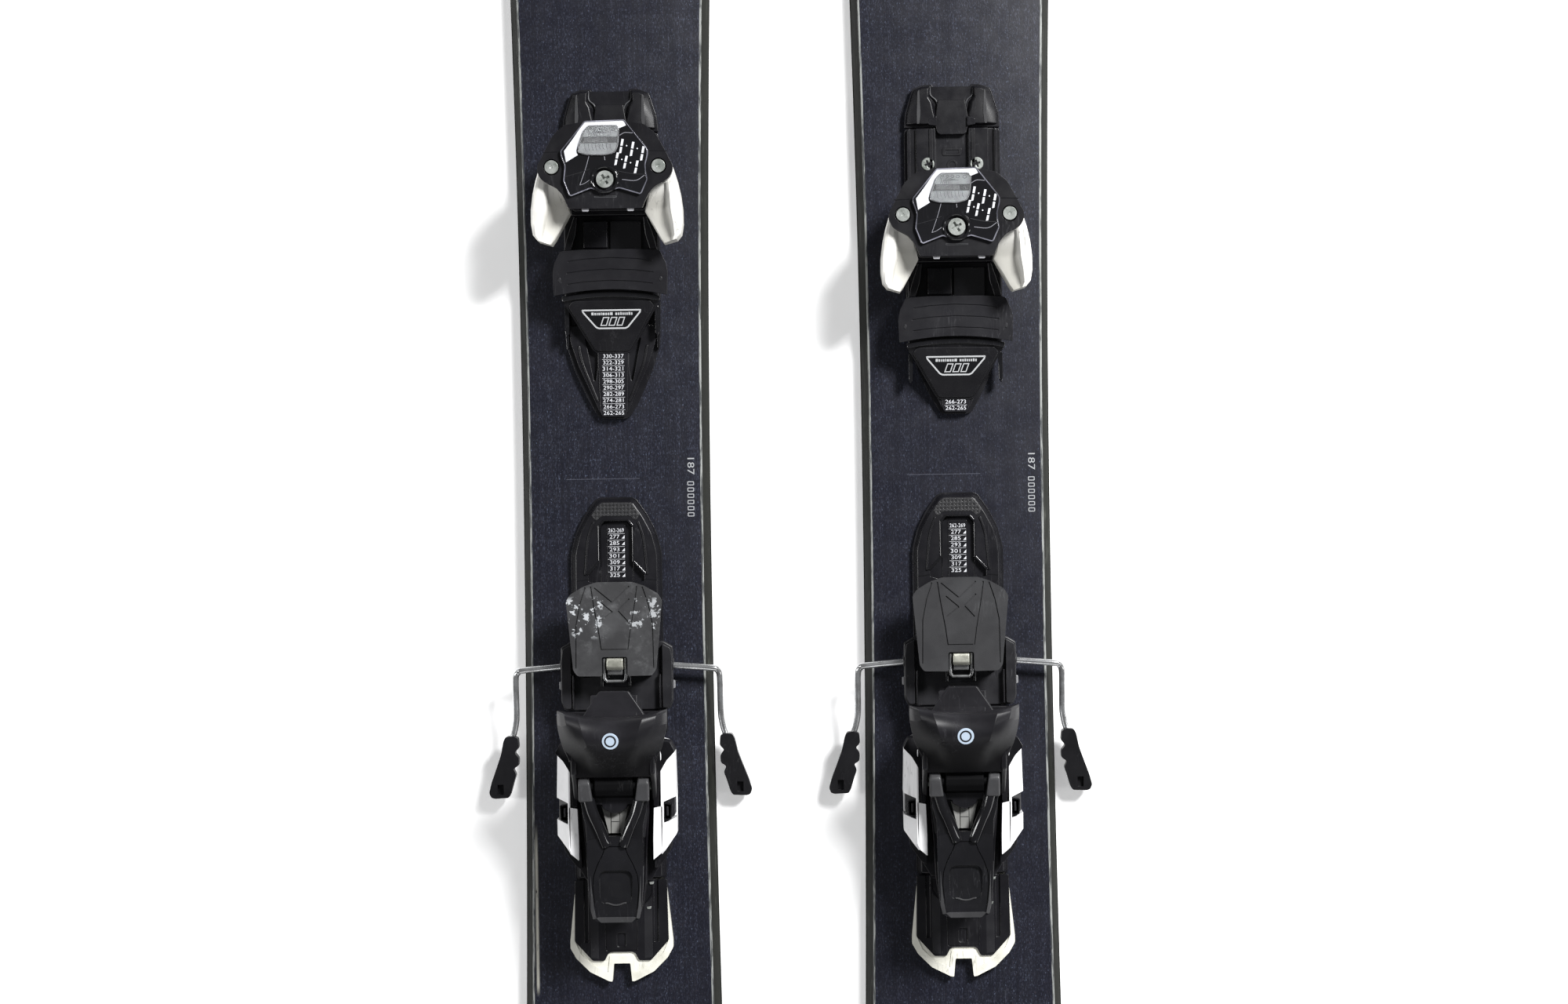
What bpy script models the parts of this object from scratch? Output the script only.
"""A pair of freeride skis with sliding-track alpine bindings.

Each ski lies along Y with its tip towards +Y and its base on the floor at Z = 0. Binding
pieces are drawn in millimetres from the boot-centre mark of their ski: x to the right,
y towards the tip, h up from the binding's mounting plane. An empty at that mark carries them.
"""

import math

import bmesh
import bpy
from mathutils import Matrix, Vector

MM = 0.001
GAP = 0.3                       # air between pieces that touch
WELD = 0.00001

# --- Ski, millimetres; y is measured from the middle of the ski -------------------------------
SKI_SPACING = 214.0             # centre line to centre line
HALF_LENGTH = 935.0
BOOT_MARK_Y = -70.0
WAIST_Y = -85.0
WAIST_WIDTH = 118.0
TIP_WIDTH = 150.0
TAIL_WIDTH = 136.0
FRONT_RADIUS = 13000.0
REAR_RADIUS = 19000.0
TIP_ROUNDNESS = 3.0
TAIL_ROUNDNESS = 3.6
CONTACT_FRONT = 520.0
CONTACT_REAR = -620.0
CAMBER = 2.0
TIP_RISE = 55.0
TAIL_RISE = 30.0
ROCKER_POWER = 2.2
CORE_THICKNESS = 13.0
END_THICKNESS = 3.4
FLAT_FRONT = 200.0              # the full thickness runs from here ...
FLAT_REAR = -400.0              # ... to here, under the binding
BASE_THICKNESS = 2.0
EDGE_WIDTH = 2.0
SIDEWALL_LEAN = 5.0
TOPSHEET_ROUNDING = 0.8
MIDDLE_STATIONS = 16
END_STATIONS = 10
END_SWEEP = math.radians(87.5)  # the rounded ends stop just short of a point

# --- Binding, millimetres from the boot-centre mark -------------------------------------------
TOE_PINS_Y = {"left": 190.0, "right": 158.0}
TRACK_TOP = 7.0
TRACK_HALF_WIDTH = 30.0
TOE_TRACK = (38.0, 216.7)
TOE_CAP = (217.0, 244.0)
HEEL_TRACK = (-251.7, -11.5)
HEEL_CAP = (-314.0, -252.0)
CHANNEL_HALF_WIDTH = 10.3
CHANNEL_FLOOR = 3.0
KEEL_CLEARANCE = 0.5
KEEL_HALF_WIDTH = CHANNEL_HALF_WIDTH - KEEL_CLEARANCE

TOE_BASE_TOP = 14.0
RAMP_LOW = 7.6
TOE_PLATFORM_TOP = 22.0
WING_PIN_X = 32.6
WING_PIN_RADIUS = 4.15
WING_LOW = 28.5
WING_TOP = 52.5
HOUSING_TOP = 58.0
COVER_TOP = 61.0
SCREW_Y = -8.0                  # height screw, from the wing pins
SCREW_HEAD_RADIUS = 5.25
PAD_TOP = 25.0
PAD_SWING_RADIUS = 165.0        # the boot pad swings about a point this far behind its rear edge
PAD_REAR_Y = -73.0
PAD_HALF_WIDTH = 34.7
PAD_GROOVES = (-52.9, -60.0, -67.0)

HEEL_AXLE = (-190.0, 32.0)      # y, h
LEVER_AXLE = (-188.0, 57.0)
CARRIAGE_TOP = 19.0
PEDAL_AXLE = (-118.0, 19.0)
BRAKE_AXLE = (-115.0, 10.5)
BRAKE_DROOP = math.radians(12)  # the resting arms slope down this much
WIRE_RADIUS = 2.0
WIRE_SLANT = math.radians(5)
# The wire's bends past the ski's edge, and the foot's outline past the wire's end: x and y.
WIRE_BEND = ((62.2, -1.4), (63.4, -3.6), (63.8, -6.4), (63.9, -28.0), (64.6, -33.0), (65.8, -38.5),
             (67.3, -43.0))
FOOT_OUTLINE = ((63.4, 0.4), (71.0, 1.4), (74.3, -10.0), (81.0, -28.0), (82.8, -34.4), (79.4, -38.2),
                (70.6, -37.8), (66.8, -27.4), (65.2, -23.0), (66.9, -19.2), (63.5, -17.0), (63.2, -12.2),
                (65.8, -8.8))
FOOT_HALF_HEIGHT = 5.5

COLOURS = {
    "topsheet": ((0.020, 0.024, 0.048), 0.38, 0.0),
    "ski_base": ((0.012, 0.012, 0.014), 0.35, 0.0),
    "edge_steel": ((0.62, 0.63, 0.65), 0.28, 1.0),
    "black_plastic": ((0.022, 0.022, 0.024), 0.48, 0.0),
    "gloss_black": ((0.012, 0.012, 0.014), 0.15, 0.0),
    "white_plastic": ((0.78, 0.77, 0.73), 0.42, 0.0),
    "zinc_steel": ((0.66, 0.66, 0.68), 0.30, 1.0),
    "grey_plastic": ((0.055, 0.057, 0.062), 0.55, 0.0),
}


# --- Scene and small tools --------------------------------------------------------------------

def clear_scene():
    for obj in list(bpy.data.objects):
        bpy.data.objects.remove(obj, do_unlink=True)


def new_collection(name):
    collection = bpy.data.collections.new(name)
    bpy.context.scene.collection.children.link(collection)
    return collection


def material(name):
    found = bpy.data.materials.get(name)
    if found:
        return found
    colour, roughness, metallic = COLOURS[name]
    made = bpy.data.materials.new(name)
    made.use_nodes = True
    shader = made.node_tree.nodes["Principled BSDF"]
    shader.inputs["Base Color"].default_value = (*colour, 1.0)
    shader.inputs["Roughness"].default_value = roughness
    shader.inputs["Metallic"].default_value = metallic
    return made


def mirrored(half):
    """Closes a half outline, given from front to back at x >= 0, with its mirror image."""
    other = [(-x, y) for x, y in reversed(half) if x > 0]
    return list(half) + other


def arc(centre, radius, start, end, steps):
    """Points along an arc in a plane, angles in degrees."""
    points = []
    for i in range(steps + 1):
        angle = math.radians(start + (end - start) * i / steps)
        points.append((centre[0] + radius * math.cos(angle), centre[1] + radius * math.sin(angle)))
    return points


def outline_mesh(points, low, high):
    """A flat outline in millimetres, thickened from low to high along local z."""
    curve = bpy.data.curves.new("outline", "CURVE")
    curve.dimensions = "2D"
    curve.fill_mode = "BOTH"
    curve.extrude = (high - low) / 2 * MM
    spline = curve.splines.new("POLY")
    spline.points.add(len(points) - 1)
    for knot, (u, v) in zip(spline.points, points):
        knot.co = (u * MM, v * MM, 0.0, 1.0)
    spline.use_cyclic_u = True
    bm = curve_to_bmesh(curve)
    bmesh.ops.dissolve_limit(bm, angle_limit=math.radians(1), verts=bm.verts, edges=bm.edges)
    bmesh.ops.translate(bm, verts=bm.verts, vec=(0.0, 0.0, (low + high) / 2 * MM))
    return bm


def curve_to_bmesh(curve):
    """The welded, closed mesh of a curve, which is then removed."""
    holder = bpy.data.objects.new("outline", curve)
    bpy.context.scene.collection.objects.link(holder)
    graph = bpy.context.evaluated_depsgraph_get()
    mesh = bpy.data.meshes.new_from_object(holder.evaluated_get(graph))
    bpy.data.objects.remove(holder, do_unlink=True)
    bpy.data.curves.remove(curve)
    bm = bmesh.new()
    bm.from_mesh(mesh)
    bpy.data.meshes.remove(mesh)
    bmesh.ops.remove_doubles(bm, verts=bm.verts, dist=WELD)
    return bm


class Bench:
    """Where one ski's pieces are made: its name prefix, its frame and its collections."""

    def __init__(self, prefix, frame, parts, cutters):
        self.prefix = prefix
        self.frame = frame
        self.parts = parts
        self.cutters = cutters

    def add(self, bm, name, colour, origin=(0.0, 0.0, 0.0)):
        """Makes a named piece from a bmesh drawn in metres from the mark."""
        origin = Vector(origin) * MM
        bmesh.ops.translate(bm, verts=bm.verts, vec=-origin)
        bmesh.ops.recalc_face_normals(bm, faces=bm.faces)
        label = f"{self.prefix}_{name}" if colour else f"cut_{self.prefix}_{name}"
        mesh = bpy.data.meshes.new(label)
        bm.to_mesh(mesh)
        bm.free()
        obj = bpy.data.objects.new(label, mesh)
        obj.parent = self.frame
        obj.location = origin
        if colour:
            mesh.materials.append(material(colour))
            mesh.shade_smooth()
            mesh.set_sharp_from_angle(angle=math.radians(32))
            self.parts.objects.link(obj)
        else:
            obj.hide_render = True
            obj.display_type = "WIRE"
            self.cutters.objects.link(obj)
        return obj

    def plate(self, name, colour, points, low, high, origin=(0.0, 0.0, 0.0)):
        """An outline in plan (x, y) between two heights."""
        return self.add(outline_mesh(points, low, high), name, colour, origin)

    def profile(self, name, colour, points, left, right, origin=(0.0, 0.0, 0.0)):
        """An outline seen from the side (y, h) between two x positions."""
        bm = outline_mesh(points, left, right)
        turn = Matrix(((0, 0, 1), (1, 0, 0), (0, 1, 0))).to_4x4()
        bmesh.ops.transform(bm, matrix=turn, verts=bm.verts)
        return self.add(bm, name, colour, origin)

    def round_bar(self, name, colour, start, end, radius, origin=None, sides=16):
        """A cylinder between two points."""
        start = Vector(start) * MM
        end = Vector(end) * MM
        along = end - start
        bm = bmesh.new()
        bmesh.ops.create_cone(bm, cap_ends=True, segments=sides, radius1=radius * MM,
                              radius2=radius * MM, depth=along.length)
        turn = along.to_track_quat("Z", "Y").to_matrix().to_4x4()
        place = Matrix.Translation((start + end) / 2) @ turn
        bmesh.ops.transform(bm, matrix=place, verts=bm.verts)
        return self.add(bm, name, colour, origin or tuple(start / MM))

    def loft(self, name, colour, rings, origin=(0.0, 0.0, 0.0)):
        """A skin over rings of (x, y, h) points, each with the same number of points."""
        bm = bmesh.new()
        rows = [[bm.verts.new(Vector(p) * MM) for p in ring] for ring in rings]
        for low, high in zip(rows, rows[1:]):
            for i in range(len(low)):
                j = (i + 1) % len(low)
                bm.faces.new((low[i], low[j], high[j], high[i]))
        bm.faces.new(rows[0])
        bm.faces.new(rows[-1])
        return self.add(bm, name, colour, origin)


def cut(obj, *tools):
    for tool in tools:
        boolean(obj, tool, "DIFFERENCE")


def join(obj, *tools):
    for tool in tools:
        boolean(obj, tool, "UNION")


def boolean(obj, tool, operation):
    step = obj.modifiers.new(f"{operation.lower()} {tool.name}"[:60], "BOOLEAN")
    step.operation = operation
    step.solver = "EXACT"
    step.object = tool


def ease_edges(obj, width, segments=1, angle=40.0):
    step = obj.modifiers.new("eased edges", "BEVEL")
    step.width = width * MM
    step.segments = segments
    step.limit_method = "ANGLE"
    step.angle_limit = math.radians(angle)
    step.harden_normals = False


# --- Ski --------------------------------------------------------------------------------------

def widest(reach_width, radius, direction):
    """The y where a side-cut arc from the waist reaches a width."""
    return WAIST_Y + direction * math.sqrt((reach_width - WAIST_WIDTH) * radius)


FRONT_WIDEST = widest(TIP_WIDTH, FRONT_RADIUS, 1)
REAR_WIDEST = widest(TAIL_WIDTH, REAR_RADIUS, -1)


def half_width(y):
    if y > FRONT_WIDEST:
        t = (y - FRONT_WIDEST) / (HALF_LENGTH - FRONT_WIDEST)
        return TIP_WIDTH / 2 * math.sqrt(1 - t ** TIP_ROUNDNESS)
    if y < REAR_WIDEST:
        t = (REAR_WIDEST - y) / (HALF_LENGTH + REAR_WIDEST)
        return TAIL_WIDTH / 2 * math.sqrt(1 - t ** TAIL_ROUNDNESS)
    radius = FRONT_RADIUS if y > WAIST_Y else REAR_RADIUS
    return WAIST_WIDTH / 2 + (y - WAIST_Y) ** 2 / (2 * radius)


def base_height(y):
    """The running surface: a little camber between the contact lines, rocker outside them."""
    if y > CONTACT_FRONT:
        return TIP_RISE * ((y - CONTACT_FRONT) / (HALF_LENGTH - CONTACT_FRONT)) ** ROCKER_POWER
    if y < CONTACT_REAR:
        return TAIL_RISE * ((CONTACT_REAR - y) / (HALF_LENGTH + CONTACT_REAR)) ** ROCKER_POWER
    middle = (CONTACT_FRONT + CONTACT_REAR) / 2
    u = (y - middle) / (CONTACT_FRONT - middle)
    return CAMBER * (1 - u ** 4) ** 2


def thickness(y):
    if y > FLAT_FRONT:
        t = (y - FLAT_FRONT) / (HALF_LENGTH - FLAT_FRONT)
    elif y < FLAT_REAR:
        t = (FLAT_REAR - y) / (HALF_LENGTH + FLAT_REAR)
    else:
        t = 0.0
    return END_THICKNESS + (CORE_THICKNESS - END_THICKNESS) * (0.5 + 0.5 * math.cos(math.pi * min(t, 1.0)))


def top_height(y):
    return base_height(y) + thickness(y)


def stations():
    """Positions along the ski, closer together round its ends."""
    rear = []
    front = []
    for i in range(END_STATIONS):
        sweep = math.sin(END_SWEEP * (END_STATIONS - i) / END_STATIONS)
        rear.append(REAR_WIDEST - (HALF_LENGTH + REAR_WIDEST) * sweep)
        front.append(FRONT_WIDEST + (HALF_LENGTH - FRONT_WIDEST) * sweep)
    span = FRONT_WIDEST - REAR_WIDEST
    middle = [REAR_WIDEST + span * i / MIDDLE_STATIONS for i in range(MIDDLE_STATIONS + 1)]
    return rear + middle + list(reversed(front))


def ski_outline():
    """Anticlockwise seen from above: up the right side, then down the left side."""
    right = [Vector((half_width(y), y)) for y in stations()]
    left = [Vector((-p.x, p.y)) for p in reversed(right)]
    return right + left


def inset(outline, distance):
    """Moves every point of a closed outline inwards along its mitre."""
    moved = []
    count = len(outline)
    for i, point in enumerate(outline):
        before = (point - outline[i - 1]).normalized()
        after = (outline[(i + 1) % count] - point).normalized()
        normal = Vector((-before.y - after.y, before.x + after.x)).normalized()
        stretch = max(0.5, normal.dot(Vector((-before.y, before.x))))
        moved.append(point + normal * distance / stretch)
    return moved


def ski_layer(bench, name, colour, levels, open_ring=False):
    """A skin over outline copies, each (inset, height function), capped by strips or closed."""
    outline = ski_outline()
    count = len(outline)
    bm = bmesh.new()
    rows = []
    for distance, height in levels:
        points = inset(outline, distance) if distance else outline
        rows.append([bm.verts.new(Vector((p.x, p.y - BOOT_MARK_Y, height(p.y))) * MM) for p in points])
    pairs = list(zip(rows, rows[1:]))
    if open_ring:
        pairs.append((rows[-1], rows[0]))
    for low, high in pairs:
        for i in range(count):
            j = (i + 1) % count
            bm.faces.new((low[i], low[j], high[j], high[i]))
    if not open_ring:
        for row in (rows[0], rows[-1]):
            for i in range(count // 2 - 1):
                bm.faces.new((row[i], row[i + 1], row[count - 2 - i], row[count - 1 - i]))
    bmesh.ops.translate(bm, verts=bm.verts, vec=(0.0, 0.0, -MOUNT_PLANE * MM))
    return bench.add(bm, name, colour)


MOUNT_PLANE = CAMBER + CORE_THICKNESS + GAP


def make_ski(bench):
    base_inset = EDGE_WIDTH + GAP
    above_base = BASE_THICKNESS + GAP
    shoulder = SIDEWALL_LEAN
    ski_layer(bench, "ski_core", "topsheet", [
        (0.0, lambda y: base_height(y) + above_base),
        (shoulder * (1 - 0.12), lambda y: top_height(y) - TOPSHEET_ROUNDING),
        (shoulder + TOPSHEET_ROUNDING, top_height),
    ])
    ski_layer(bench, "ski_base", "ski_base", [
        (base_inset, base_height),
        (base_inset, lambda y: base_height(y) + BASE_THICKNESS),
    ])
    ski_layer(bench, "steel_edge", "edge_steel", [
        (0.0, base_height),
        (0.0, lambda y: base_height(y) + BASE_THICKNESS),
        (EDGE_WIDTH, lambda y: base_height(y) + BASE_THICKNESS),
        (EDGE_WIDTH, base_height),
    ], open_ring=True)


# --- Toe unit ---------------------------------------------------------------------------------

def channel_cutter(bench, name, rear, front):
    half = CHANNEL_HALF_WIDTH
    return bench.plate(name, None, mirrored([(half, front), (half, rear)]), CHANNEL_FLOOR, TRACK_TOP + 5)


def make_toe_track(bench):
    rear, front = TOE_TRACK
    outline = mirrored([(TRACK_HALF_WIDTH, front), (TRACK_HALF_WIDTH, 82.0), (9.3, rear)])
    track = bench.plate("toe_track", "black_plastic", outline, 0.0, TRACK_TOP)
    ease_edges(track, 0.8)
    channel = channel_cutter(bench, "toe_channel", 84.0, front + 5)
    cut(track, channel)
    for side in (-1, 1):
        slot = mirrored([(2.2, front + 5), (2.2, 96.0)])
        groove = bench.plate(f"toe_groove_{side + 1}", None, [(x + side * 24.6, y) for x, y in slot],
                             TRACK_TOP - 2.5, TRACK_TOP + 5)
        cut(track, groove)


def make_toe_cap(bench):
    rear, front = TOE_CAP
    half = [(18.0, front), (24.5, front - 3.5), (29.0, 228.0), (TRACK_HALF_WIDTH, 223.0),
            (TRACK_HALF_WIDTH, rear)]
    cap = bench.plate("toe_end_cap", "black_plastic", mirrored(half), 0.0, TRACK_TOP + 2.0)
    ease_edges(cap, 1.6, 2)


def make_toe_carriage(bench, pins):
    """The slide that grips the toe track: keel, base, head platform, post and label ramp."""
    def at(points):
        return [(x, y + pins) for x, y in points]

    origin = (0.0, pins, TRACK_TOP)
    base = mirrored([(18.0, 22.0), (29.5, 14.0), (29.5, -80.0), (22.0, -94.0)])
    carriage = bench.plate("toe_carriage", "black_plastic", at(base), TRACK_TOP + GAP, TOE_BASE_TOP, origin)
    keel = bench.plate("toe_keel", None, at(mirrored([(KEEL_HALF_WIDTH, 15.0), (KEEL_HALF_WIDTH, -68.0)])),
                       CHANNEL_FLOOR + KEEL_CLEARANCE, TOE_BASE_TOP - 1)
    head = bench.plate("toe_platform", None, at(mirrored([(16.0, 20.0), (24.0, 12.0), (24.0, -25.0)])),
                       TOE_BASE_TOP - 1, TOE_PLATFORM_TOP)
    shelf = bench.plate("pad_shelf", None, at(mirrored([(31.0, -48.0), (31.0, -72.0)])),
                        TOE_BASE_TOP - 1, TOE_PLATFORM_TOP - GAP)
    block = bench.plate("index_block", None, at([(-17, -30.5), (-1.5, -30.5), (-1.5, -45.5), (-17, -45.5)]),
                        TOE_BASE_TOP - 1, TOE_BASE_TOP + 4)
    post = bench.round_bar("toe_post", None, (0, pins + SCREW_Y, TOE_BASE_TOP - 1),
                           (0, pins + SCREW_Y, 40.0), 6.0)
    ramp_ends = []
    for half, y, top in ((30.5, pins - 78.5, 20.5), (9.2, pins - 110.6, 9.5)):
        ramp_ends.append([(-half, y, RAMP_LOW), (half, y, RAMP_LOW), (half, y, top), (-half, y, top)])
    ramp = bench.loft("label_ramp", None, ramp_ends)
    bore = bench.round_bar("post_bore", None, (0, pins + SCREW_Y, 20.0), (0, pins + SCREW_Y, 45.0), 3.2)
    join(carriage, keel, head, shelf, block, post, ramp)
    cut(carriage, bore)


def make_toe_head(bench, pins):
    """Housing, printed cover, wing pins and the two adjusting screws."""
    def at(points):
        return [(x, y + pins) for x, y in points]

    screw_y = pins + SCREW_Y
    low = mirrored([(20.0, 25.0), (29.0, 18.5), (36.5, 4.0), (38.5, -2.5), (37.0, -10.0),
                    (30.0, -12.4), (26.0, -15.7), (22.5, -24.8)])
    high = mirrored([(21.0, 22.0), (29.5, 15.5), (38.0, 3.0), (40.5, -2.5), (38.8, -10.0),
                     (30.7, -12.4), (26.6, -15.7), (22.5, -24.8)])
    base_low = TOE_PLATFORM_TOP + GAP
    rings = [
        [(x, y, base_low) for x, y in at(low)],
        [(x, y, WING_TOP - 6) for x, y in at([(x * 1.02, y * 1.04) for x, y in low])],
        [(x, y, HOUSING_TOP) for x, y in at(high)],
    ]
    origin = (0.0, pins, base_low)
    housing = bench.loft("toe_housing", "black_plastic", rings, origin)
    socket = bench.round_bar("post_socket", None, (0, screw_y, 15.0), (0, screw_y, 50.0), 6.6)
    shank_hole = bench.round_bar("shank_hole", None, (0, screw_y, 45.0), (0, screw_y, 65.0), 3.2)
    cut(housing, socket, shank_hole)
    cover_half = [(12.7, 24.5), (27.0, 9.4), (25.0, -2.5), (26.3, -7.0), (20.4, -19.0), (7.7, -21.0)]
    cover = bench.plate("toe_cover", "gloss_black", at(mirrored(cover_half)), HOUSING_TOP + GAP, COVER_TOP,
                        origin)
    ease_edges(cover, 0.6)
    bay = bench.round_bar("screw_bay", None, (0, screw_y, 55.0), (0, screw_y, 65.0), 7.6)
    cut(cover, bay)
    for side in (-1, 1):
        name = bench.side_name(side)
        x = side * WING_PIN_X
        pocket = at([(side * u, v) for u, v in
                     [(22.4, 10.0), (46.0, 10.0), (46.0, -30.0), (21.0, -30.0), (21.0, -13.0)]])
        cut(housing, bench.plate(f"wing_pocket_{name}", None, pocket, WING_LOW - 0.5, WING_TOP + 0.5))
        hole = bench.round_bar(f"pin_hole_{name}", None, (x, pins, base_low - 3), (x, pins, 70.0),
                               WING_PIN_RADIUS + GAP)
        cut(housing, hole)
        bench.round_bar(f"wing_pin_{name}", "zinc_steel", (x, pins, base_low + 0.2),
                        (x, pins, HOUSING_TOP + 0.8), WING_PIN_RADIUS)
        make_wing(bench, pins, side, hole)
    make_height_screw(bench, screw_y)
    make_toe_release_screw(bench, pins, housing)


def make_wing(bench, pins, side, pin_hole):
    """A wing that swings outwards on its pin; its inner face cups the boot's toe welt."""
    root = arc((WING_PIN_X, 0.0), 8.2, 150, 30, 5)
    outer = [(45.0, -8.0), (47.0, -20.0), (46.2, -32.0), (43.0, -41.0), (39.0, -46.0)]
    inner = [(36.4, -45.0), (33.5, -36.0), (29.5, -29.5), (24.0, -26.4), (24.4, -20.0), (25.5, -6.0)]
    outline = [(side * x, y + pins) for x, y in root + outer + inner]
    name = bench.side_name(side)
    origin = (side * WING_PIN_X, pins, WING_LOW)
    wing = bench.plate(f"toe_wing_{name}", "white_plastic", outline, WING_LOW, WING_TOP, origin)
    ease_edges(wing, 1.2, 1)
    cut(wing, pin_hole)


def make_height_screw(bench, y):
    screw = bench.round_bar("toe_height_screw", "zinc_steel", (0, y, HOUSING_TOP + GAP),
                            (0, y, HOUSING_TOP + 2.8), SCREW_HEAD_RADIUS)
    shank = bench.round_bar("height_screw_shank", None, (0, y, 27.0), (0, y, HOUSING_TOP + 1), 2.6)
    join(screw, shank)
    for turn, (long, wide) in enumerate(((0.6, 3.4), (3.4, 0.6))):
        slot = mirrored([(long, y + wide), (long, y - wide)])
        cut(screw, bench.plate(f"cross_slot_{turn}", None, slot, HOUSING_TOP + 1.4, HOUSING_TOP + 5))


def make_toe_release_screw(bench, pins, housing):
    """The spring screw in the front face, turned to set the release value."""
    front = pins + 25.2
    height = 40.0
    seat = bench.round_bar("release_seat", None, (0, front - 4.0, height), (0, front + 6, height), 7.3)
    cut(housing, seat)
    screw = bench.round_bar("toe_release_screw", "zinc_steel", (0, front - 3.6, height),
                            (0, front - 0.6, height), 6.9)
    low, high = height - 0.8, height + 0.8
    slot = [(front - 2.0, low), (front + 3, low), (front + 3, high), (front - 2.0, high)]
    cut(screw, bench.profile("release_slot", None, slot, -5.5, 5.5))


def make_boot_pad(bench, pins):
    """The low-friction pad, free to swing sideways along an arc."""
    centre = (0.0, pins + PAD_REAR_Y - PAD_SWING_RADIUS)
    spread = math.degrees(math.asin(PAD_HALF_WIDTH / PAD_SWING_RADIUS))
    rear = arc(centre, PAD_SWING_RADIUS, 90 - spread, 90 + spread, 8)
    front = [(-PAD_HALF_WIDTH, pins - 50.5), (-30.5, pins - 46.3), (30.5, pins - 46.3),
             (PAD_HALF_WIDTH, pins - 50.5)]
    pad = bench.plate("boot_pad", "black_plastic", rear + front, TOE_PLATFORM_TOP, PAD_TOP,
                      (0.0, centre[1], TOE_PLATFORM_TOP))
    ease_edges(pad, 0.6)
    for y in PAD_GROOVES:
        groove = mirrored([(27.5, pins + y + 0.9), (27.5, pins + y - 0.9)])
        cut(pad, bench.plate(f"pad_groove_{int(-y)}", None, groove, PAD_TOP - 0.8, PAD_TOP + 4))


# --- Heel unit --------------------------------------------------------------------------------

def make_heel_track(bench):
    rear, front = HEEL_TRACK
    half = [(11.5, front), (19.0, -20.0), (25.0, -31.0), (28.5, -45.0), (28.5, rear)]
    track = bench.plate("heel_track", "black_plastic", mirrored(half), 0.0, TRACK_TOP)
    ease_edges(track, 0.8)
    cut(track, channel_cutter(bench, "heel_channel", rear - 5, -27.0))


def make_heel_cap(bench):
    rear, front = HEEL_CAP
    half = [(28.0, front), (30.5, -268.0), (31.8, -290.0), (29.0, -303.0), (20.0, rear), (6.2, rear),
            (5.4, rear + 12)]
    cap = bench.plate("heel_end_cap", "white_plastic", mirrored(half), 0.0, TRACK_TOP - 0.2)
    ease_edges(cap, 1.2, 1)
    hole = mirrored([(2.6, -283.5), (3.0, -285.5), (3.0, -289.5), (2.6, -291.5)])
    cut(cap, bench.plate("cap_slot", None, hole, 3.0, 12.0))


def make_heel_carriage(bench):
    origin = (0.0, HEEL_AXLE[0], TRACK_TOP)
    half = [(31.0, -144.6), (31.0, -158.0), (27.2, -160.6), (27.2, -238.0), (20.0, -250.0)]
    carriage = bench.plate("heel_carriage", "black_plastic", mirrored(half), TRACK_TOP + GAP, CARRIAGE_TOP,
                           origin)
    ease_edges(carriage, 0.8)
    keel = bench.plate("heel_keel", None, mirrored([(KEEL_HALF_WIDTH, -146.0), (KEEL_HALF_WIDTH, -232.0)]),
                       CHANNEL_FLOOR + KEEL_CLEARANCE, CARRIAGE_TOP - 2)
    join(carriage, keel)


def make_heel_housing(bench):
    """The spring case: axle bore at its middle and a trunnion each side for the lever."""
    low = CARRIAGE_TOP + GAP
    side_view = [(-171.0, low), (-171.0, 46.0), (-176.0, 50.0), (-200.0, 50.0), (-206.0, 46.5),
                 (-222.0, 45.0), (-249.0, 37.0), (-250.0, low)]
    origin = (0.0, HEEL_AXLE[0], low)
    housing = bench.profile("heel_housing", "gloss_black", side_view, -20.4, 20.4, origin)
    ease_edges(housing, 1.5, 1)
    y, h = LEVER_AXLE
    boss = bench.profile("lever_boss", None, [(y + 9, 48.0), (y + 5, h + 3), (y, h + 5.2), (y - 5, h + 3),
                                              (y - 9, 48.0)], -11.6, 11.6)
    trunnion = bench.round_bar("lever_trunnion", None, (-21.0, y, h), (21.0, y, h), 2.6)
    join(housing, boss, trunnion)
    cut(housing, bench.round_bar("axle_bore", None, (-30, *HEEL_AXLE), (30, *HEEL_AXLE), 3.4))


def make_heel_axle(bench):
    bench.round_bar("heel_axle", "zinc_steel", (-27.2, *HEEL_AXLE), (27.2, *HEEL_AXLE), 3.0,
                    (0.0, *HEEL_AXLE))


def make_fairings(bench):
    for side in (-1, 1):
        low = [(27.7, -162.0), (30.5, -164.0), (36.0, -178.0), (37.0, -196.0), (36.0, -214.0),
               (31.0, -231.0), (27.7, -234.5)]
        high = [(27.7, -166.0), (29.0, -168.0), (33.0, -180.0), (34.0, -196.0), (33.0, -212.0),
                (29.5, -226.0), (27.7, -229.0)]
        rings = []
        for points, h in ((low, TRACK_TOP + 0.5), (low, 30.0), (high, 45.0)):
            rings.append([(side * x, y, h) for x, y in points])
        fairing = bench.loft(f"heel_fairing_{bench.side_name(side)}", "white_plastic", rings,
                             (side * 30.0, HEEL_AXLE[0], TRACK_TOP))
        ease_edges(fairing, 1.2, 1)


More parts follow.
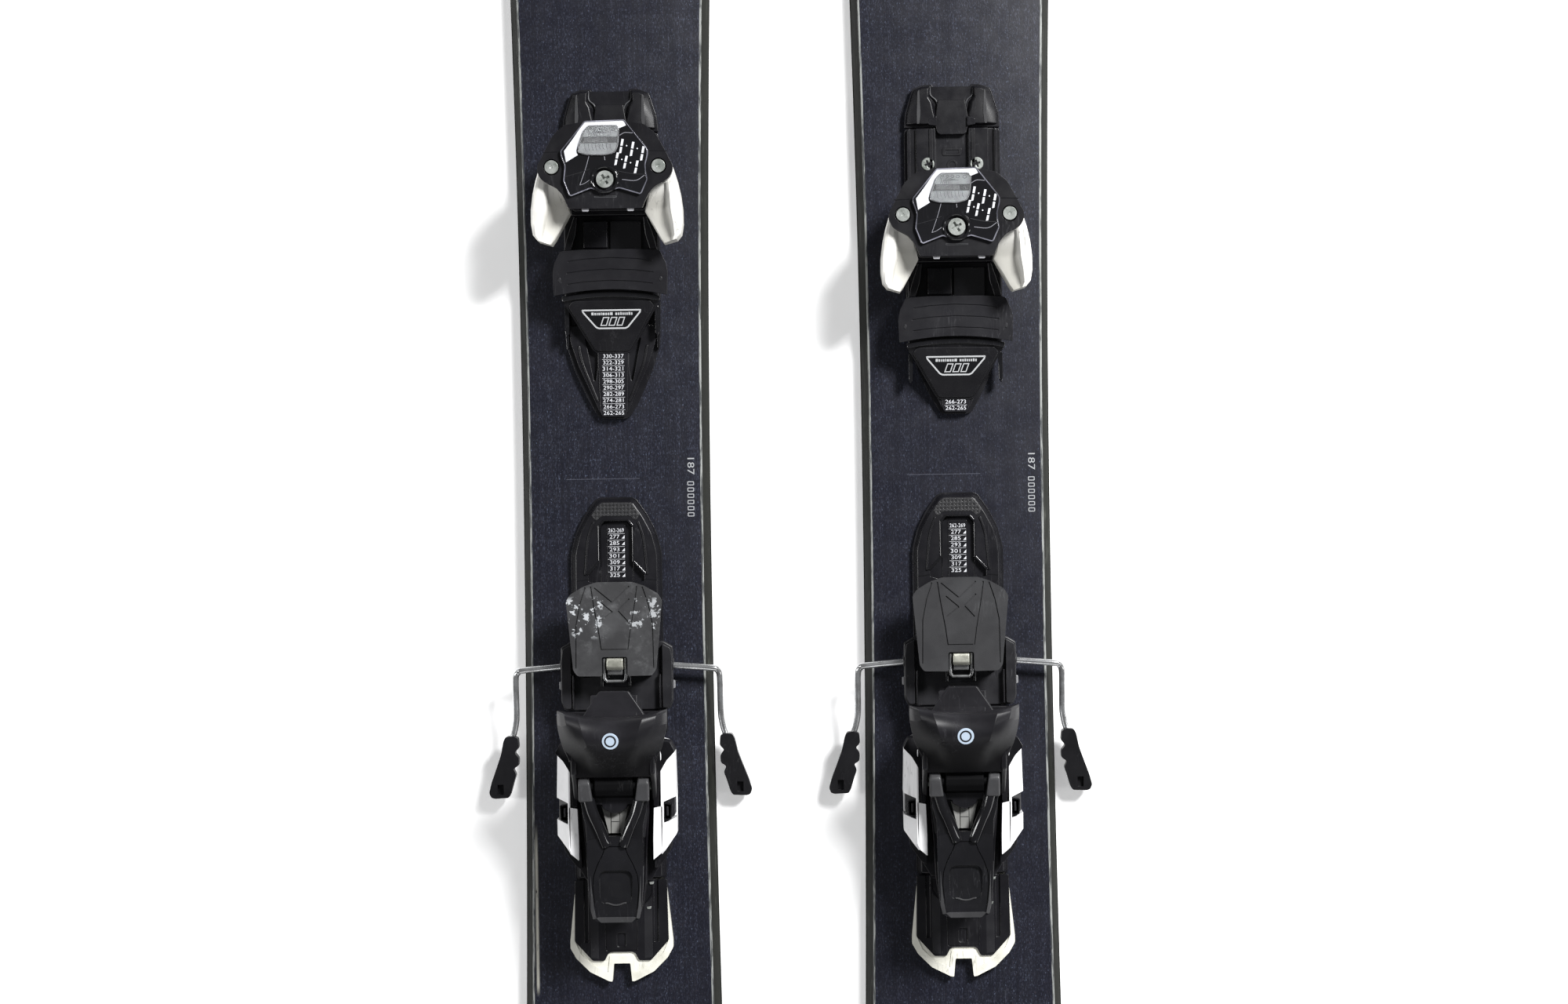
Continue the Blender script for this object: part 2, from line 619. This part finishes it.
def make_heel_cup(bench):
    """Cup, treadle and legs in one casting that rocks on the heel axle."""
    origin = (0.0, *HEEL_AXLE)
    crown = [(-140.5, 66.0), (-143.0, 78.0), (-150.0, 84.0), (-166.0, 83.0), (-178.0, 74.0),
             (-181.0, 66.0), (-156.0, 66.0)]
    cup = bench.profile("heel_cup", "black_plastic", crown, -32.5, 32.5, origin)
    ease_edges(cup, 3.0, 2)
    hollow = bench.profile("cup_hollow", None, [(-130.0, 60.0), (-130.0, 74.0), (-149.0, 74.0),
                                                (-155.0, 68.0), (-156.0, 60.0)], -22.0, 22.0)
    cut(cup, hollow)
    web = bench.profile("treadle_web", None, [(-131.0, 41.5), (-131.0, 46.0), (-149.0, 47.5),
                                              (-157.5, 70.0), (-168.0, 70.0), (-160.0, 42.0)], -14.5, 14.5)
    join(cup, web)
    y, h = HEEL_AXLE
    for side in (-1, 1):
        leg = [(-164.0, 70.0), (-180.0, 68.0), (y - 7.5, h + 3), (y - 5.5, h - 5), (y + 5.0, h - 5.5),
               (y + 12.0, h + 8)]
        span = sorted((side * 22.2, side * 26.8))
        join(cup, bench.profile(f"cup_leg_{bench.side_name(side)}", None, leg, *span))
    cut(cup, bench.round_bar("cup_bore", None, (-30, y, h), (30, y, h), 3.4))


def make_heel_lever(bench):
    """A forked arm that straddles the housing's boss and widens into the pole paddle."""
    y, h = LEVER_AXLE
    half = [(21.5, y + 5.5), (21.5, y - 8.0), (17.4, y - 24.0), (17.3, y - 36.0), (16.8, y - 60.0),
            (15.0, y - 79.0), (9.5, y - 83.6)]
    fork = [(12.4, y + 5.5), (12.4, y - 9.0), (4.0, y - 27.0)]
    outline = mirrored_fork(half, fork)
    lever = bench.plate("heel_lever", "gloss_black", outline, 44.0, 66.0, (0.0, y, h))
    profile = [(y + 5.5, h + 4), (y + 3.5, h + 6), (y - 34.0, h + 1.5), (y - 84.0, h - 3.5),
               (y - 84.0, h - 8.5), (y - 36.0, h - 6.0), (y - 10.0, h - 5.6), (y + 3.5, h - 5.6),
               (y + 5.5, h - 4)]
    envelope = bench.profile("lever_envelope", None, profile, -30.0, 30.0)
    boolean(lever, envelope, "INTERSECT")
    bore = bench.round_bar("lever_bore", None, (-30, y, h), (30, y, h), 3.0)
    dimple = bench.loft("pole_dimple", None, [
        [(px, py, h - 5.4) for px, py in ellipse((0.0, y - 62.4), 5.0, 5.5, 16)],
        [(px, py, h + 2.0) for px, py in ellipse((0.0, y - 62.4), 11.5, 12.5, 16)],
    ])
    cut(lever, bore, dimple)


def mirrored_fork(outer, inner):
    """A closed outline whose front is a fork: outer side, tail, other side, then the notch."""
    right = list(outer)
    left = [(-x, y) for x, y in reversed(outer)]
    notch_left = [(-x, y) for x, y in inner]
    notch_right = list(reversed(inner))
    return right + left + notch_left + notch_right


def ellipse(centre, half_x, half_y, count):
    points = []
    for i in range(count):
        angle = 2 * math.pi * i / count
        points.append((centre[0] + half_x * math.cos(angle), centre[1] + half_y * math.sin(angle)))
    return points


# --- Brake ------------------------------------------------------------------------------------

def make_brake_plate(bench):
    """The brake's base, screwed to the heel carriage, with ears for the pedal's pins."""
    half = [(30.0, -101.5), (35.0, -106.0), (35.0, -140.0), (31.0, -144.3)]
    plate = bench.plate("brake_plate", "black_plastic", mirrored(half), TRACK_TOP + GAP, 14.0,
                        (0.0, *PEDAL_AXLE))
    y, h = PEDAL_AXLE
    for side in (-1, 1):
        name = bench.side_name(side)
        ear = [(y + 6.0, 13.0), (y + 4.0, h + 3.0), (y, h + 4.6), (y - 4.0, h + 3.0), (y - 6.0, 13.0)]
        span = sorted((side * 17.2, side * 21.5))
        join(plate, bench.profile(f"pedal_ear_{name}", None, ear, *span))
        pin = bench.round_bar(f"pedal_pin_{name}", None, (side * 12.6, y, h), (side * 18.0, y, h), 2.0)
        join(plate, pin)
        start, end = wire_axis(side, 14.0, 42.0)
        cut(plate, bench.round_bar(f"wire_bore_{name}", None, start, end, WIRE_RADIUS + 0.6))


def wire_axis(side, near, far):
    """Two points on a brake wire's turning axis, which slants slightly back as it goes out."""
    y, h = BRAKE_AXLE
    slope = math.tan(WIRE_SLANT)
    return (side * near, y - slope * (near - 14.0), h), (side * far, y - slope * (far - 14.0), h)


def make_brake_pad(bench):
    y, h = PEDAL_AXLE
    half = [(9.0, -64.0), (17.5, -66.0), (26.5, -71.0), (29.5, -76.0), (25.5, -118.0), (24.0, -121.5),
            (8.0, -122.0), (8.0, -110.0)]
    pad = bench.plate("brake_pad", "grey_plastic", mirrored(half), 30.0, 35.0, (0.0, y, h))
    ease_edges(pad, 1.0, 1)
    for side in (-1, 1):
        name = bench.side_name(side)
        leg = [(-92.0, 32.0), (y - 3.6, 32.0), (y - 4.6, h), (y - 3.0, h - 3.4), (y + 3.0, h - 3.4),
               (y + 6.0, h + 3)]
        span = sorted((side * 12.0, side * 16.6))
        join(pad, bench.profile(f"pedal_leg_{name}", None, leg, *span))
        cut(pad, bench.round_bar(f"pedal_bore_{name}", None, (side * 10.0, y, h), (side * 20.0, y, h), 2.4))


def droop(y):
    """Height of a resting brake arm's middle at a place along the ski."""
    return BRAKE_AXLE[1] - (BRAKE_AXLE[0] - y) * math.tan(BRAKE_DROOP)


def make_brake_arm(bench, side):
    """Steel wire from its bearing in the plate out past the ski's edge and back to the foot."""
    name = bench.side_name(side)
    start, end = wire_axis(side, 16.0, 60.0)
    bend = [(side * x, end[1] + y, droop(end[1] + y)) for x, y in WIRE_BEND]
    curve = bpy.data.curves.new("wire", "CURVE")
    curve.dimensions = "3D"
    curve.bevel_depth = WIRE_RADIUS * MM
    curve.bevel_resolution = 2
    curve.use_fill_caps = True
    points = [start, end] + bend
    spline = curve.splines.new("POLY")
    spline.points.add(len(points) - 1)
    for knot, point in zip(spline.points, points):
        knot.co = (*(Vector(point) * MM), 1.0)
    bench.add(curve_to_bmesh(curve), f"brake_arm_{name}", "zinc_steel", start)
    make_brake_foot(bench, side, bend[-1], start)


def make_brake_foot(bench, side, wire_end, origin):
    """The plastic claw moulded on the end of the wire, notched on its inner side."""
    name = bench.side_name(side)
    low = []
    high = []
    for x, along in FOOT_OUTLINE:
        y = wire_end[1] + along
        thick = FOOT_HALF_HEIGHT * (1.0 + 0.012 * along)
        low.append((side * x, y, droop(y) - thick))
        high.append((side * x, y, droop(y) + thick))
    foot = bench.loft(f"brake_foot_{name}", "black_plastic", [low, high], origin)
    ease_edges(foot, 0.8, 1)
    seat_start = Vector(wire_end) + Vector((side * -1.0, 3.0, 0.6))
    seat_end = Vector(wire_end) + Vector((side * 0.2, -0.5, 0.0))
    cut(foot, bench.round_bar(f"wire_seat_{name}", None, seat_start, seat_end, WIRE_RADIUS + 0.5))


# --- Assembly ---------------------------------------------------------------------------------

def make_ski_and_binding(prefix, side, parts, cutters):
    frame = bpy.data.objects.new(f"{prefix}_boot_centre", None)
    frame.empty_display_size = 0.03
    frame.location = (side * SKI_SPACING / 2 * MM, BOOT_MARK_Y * MM, MOUNT_PLANE * MM)
    parts.objects.link(frame)
    bench = Bench(prefix, frame, parts, cutters)
    bench.side_name = lambda own: "outer" if own == side else "inner"
    pins = TOE_PINS_Y[prefix]
    make_ski(bench)
    make_toe_track(bench)
    make_toe_cap(bench)
    make_toe_carriage(bench, pins)
    make_toe_head(bench, pins)
    make_boot_pad(bench, pins)
    make_heel_track(bench)
    make_heel_cap(bench)
    make_heel_carriage(bench)
    make_heel_housing(bench)
    make_heel_axle(bench)
    make_fairings(bench)
    make_heel_cup(bench)
    make_heel_lever(bench)
    make_brake_plate(bench)
    make_brake_pad(bench)
    for own in (-1, 1):
        make_brake_arm(bench, own)


def main():
    clear_scene()
    parts = new_collection("skis_with_bindings")
    cutters = new_collection("cutters")
    make_ski_and_binding("left", -1, parts, cutters)
    make_ski_and_binding("right", 1, parts, cutters)


main()
